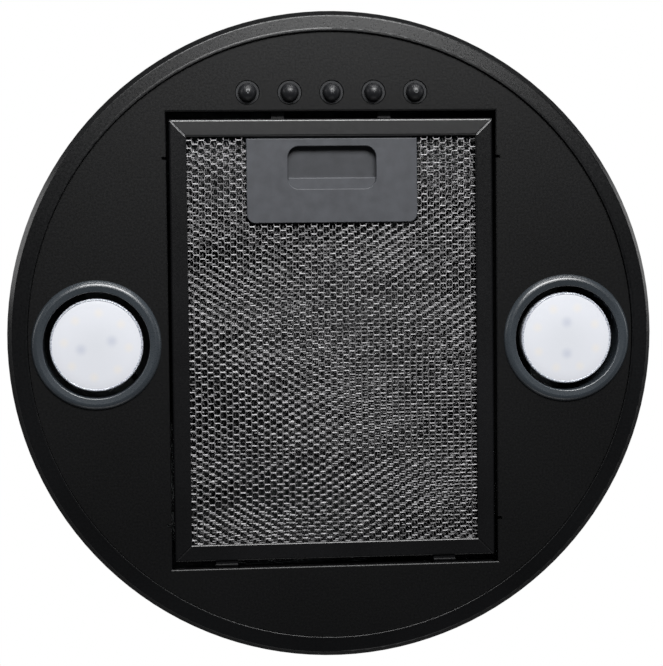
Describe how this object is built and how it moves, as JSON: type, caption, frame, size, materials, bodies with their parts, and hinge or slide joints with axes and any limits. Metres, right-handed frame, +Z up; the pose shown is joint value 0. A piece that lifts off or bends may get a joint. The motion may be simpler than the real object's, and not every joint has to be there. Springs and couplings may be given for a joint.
{
  "type": "island range hood",
  "caption": "Round telescopic ceiling hood: a black steel cylinder with a grease filter, spot lamps and push buttons on its flat underside, and a blower with a duct collar inside.",
  "frame": {"origin": "centre of the ceiling plate's upper face, where the four anchor screws go", "axes": "+Z up into the ceiling along the cylinder's axis; -Y towards the front, where the buttons are; +X towards the right lamp seen from below with the buttons away from the viewer's feet"},
  "size_m": [0.353, 0.353, 0.8052],
  "materials": {
    "shell_paint": "satin black powder coat",
    "panel_paint": "satin black powder coat",
    "ring_paint": "satin black powder coat",
    "galvanised": "galvanised",
    "fastener": "blackened",
    "zinc_fastener": "zinc plated",
    "blower_plastic": "moulded",
    "wheel_plastic": "moulded",
    "motor_steel": "satin",
    "shaft_steel": "ground",
    "duct_plastic": "moulded",
    "box_plastic": "moulded",
    "gland_plastic": "moulded",
    "capacitor_can": "gloss",
    "switch_plastic": "moulded",
    "button_plastic": "satin",
    "bezel_paint": "satin blue-black",
    "lamp_lens": "milky diffuser",
    "holder_ceramic": "ceramic white",
    "lead_sleeve": "matte",
    "filter_frame": "anodised dark grey",
    "filter_mesh": "expanded mesh",
    "latch_plastic": "moulded",
    "spring_steel": "bright"
  },
  "bodies": {
    "ceiling_mount": {"ceiling_plate": "galvanised", "upper_sleeve": "shell_paint", "sleeve_screws": "fastener", "upper_rail_front_left": "galvanised", "upper_rail_front_right": "galvanised", "upper_rail_rear_left": "galvanised", "upper_rail_rear_right": "galvanised"},
    "hood": {"rail_bolts": "zinc_fastener", "chassis_deck": "galvanised", "body_shell": "shell_paint", "rim_ring": "ring_paint", "bottom_panel": "panel_paint", "panel_screws": "zinc_fastener", "scroll_front": "blower_plastic", "scroll_rear": "blower_plastic", "blower_screws": "zinc_fastener", "motor_body": "motor_steel", "motor_bracket": "galvanised", "outlet_collar": "duct_plastic", "electronics_box": "box_plastic", "electronics_lid": "box_plastic", "cord_gland": "gland_plastic", "capacitor": "capacitor_can", "switch_housing": "switch_plastic", "motor_lead": "lead_sleeve", "lower_rail_front_left": "galvanised", "lower_rail_front_right": "galvanised", "lower_rail_rear_left": "galvanised", "lower_rail_rear_right": "galvanised", "lamp_bezel_left": "bezel_paint", "lampholder_left": "holder_ceramic", "lamp_bracket_left": "galvanised", "lamp_lead_left": "lead_sleeve", "lamp_bezel_right": "bezel_paint", "lampholder_right": "holder_ceramic", "lamp_bracket_right": "galvanised", "lamp_lead_right": "lead_sleeve"},
    "rotor": {"fan_wheel": "wheel_plastic", "motor_shaft": "shaft_steel"},
    "flap_front": {"damper_flap_front": "duct_plastic"},
    "flap_rear": {"damper_flap_rear": "duct_plastic"},
    "filter": {"filter_frame_front": "filter_frame", "filter_frame_rear": "filter_frame", "filter_frame_left": "filter_frame", "filter_frame_right": "filter_frame", "filter_mesh_face": "filter_mesh", "filter_mesh_core": "filter_mesh", "filter_mesh_back": "filter_mesh", "handle_housing": "latch_plastic", "hinge_lugs": "filter_frame", "latch_springs": "spring_steel"},
    "latch": {"latch_slider": "latch_plastic"},
    "lamp_left": {"lamp_left": "lamp_lens"},
    "lamp_right": {"lamp_right": "lamp_lens"},
    "button_1": {"button_1": "button_plastic"},
    "button_2": {"button_2": "button_plastic"},
    "button_3": {"button_3": "button_plastic"},
    "button_4": {"button_4": "button_plastic"},
    "button_5": {"button_5": "button_plastic"}
  },
  "joints": [
    {"name": "height_adjust", "type": "slide", "parent": "ceiling_mount", "child": "hood", "axis": [0, 0, 1], "range_m": [-0.12, 0.12]},
    {"name": "fan_spin", "type": "hinge", "parent": "hood", "child": "rotor", "pos_m": [0.038, 0, -0.628], "axis": [0, 1, 0], "continuous": true},
    {"name": "flap_front_hinge", "type": "hinge", "parent": "hood", "child": "flap_front", "pos_m": [0, -0.005, -0.4408], "axis": [-1, 0, 0], "range_deg": [0, 80]},
    {"name": "flap_rear_hinge", "type": "hinge", "parent": "hood", "child": "flap_rear", "pos_m": [0, 0.005, -0.4408], "axis": [1, 0, 0], "range_deg": [0, 80]},
    {"name": "filter_tilt", "type": "hinge", "parent": "hood", "child": "filter", "pos_m": [0, 0.1242, -0.799], "axis": [1, 0, 0], "range_deg": [0, 80]},
    {"name": "latch_slide", "type": "slide", "parent": "filter", "child": "latch", "axis": [0, 1, 0], "range_m": [0, 0.006], "stiffness_N_per_m": 400, "springref_m": -0.004, "deforming": ["latch_springs"]},
    {"name": "lamp_left_twist", "type": "hinge", "parent": "hood", "child": "lamp_left", "pos_m": [-0.1287, 0.0028, -0.8], "axis": [0, 0, -1], "range_deg": [0, 40]},
    {"name": "lamp_right_twist", "type": "hinge", "parent": "hood", "child": "lamp_right", "pos_m": [0.1287, 0.0028, -0.8], "axis": [0, 0, -1], "range_deg": [0, 40]},
    {"name": "button_1_press", "type": "slide", "parent": "hood", "child": "button_1", "axis": [0, 0, 1], "range_m": [0, 0.003], "stiffness_N_per_m": 300, "springref_m": -0.002},
    {"name": "button_2_press", "type": "slide", "parent": "hood", "child": "button_2", "axis": [0, 0, 1], "range_m": [0, 0.003], "stiffness_N_per_m": 300, "springref_m": -0.002},
    {"name": "button_3_press", "type": "slide", "parent": "hood", "child": "button_3", "axis": [0, 0, 1], "range_m": [0, 0.003], "stiffness_N_per_m": 300, "springref_m": -0.002},
    {"name": "button_4_press", "type": "slide", "parent": "hood", "child": "button_4", "axis": [0, 0, 1], "range_m": [0, 0.003], "stiffness_N_per_m": 300, "springref_m": -0.002},
    {"name": "button_5_press", "type": "slide", "parent": "hood", "child": "button_5", "axis": [0, 0, 1], "range_m": [0, 0.003], "stiffness_N_per_m": 300, "springref_m": -0.002}
  ]
}
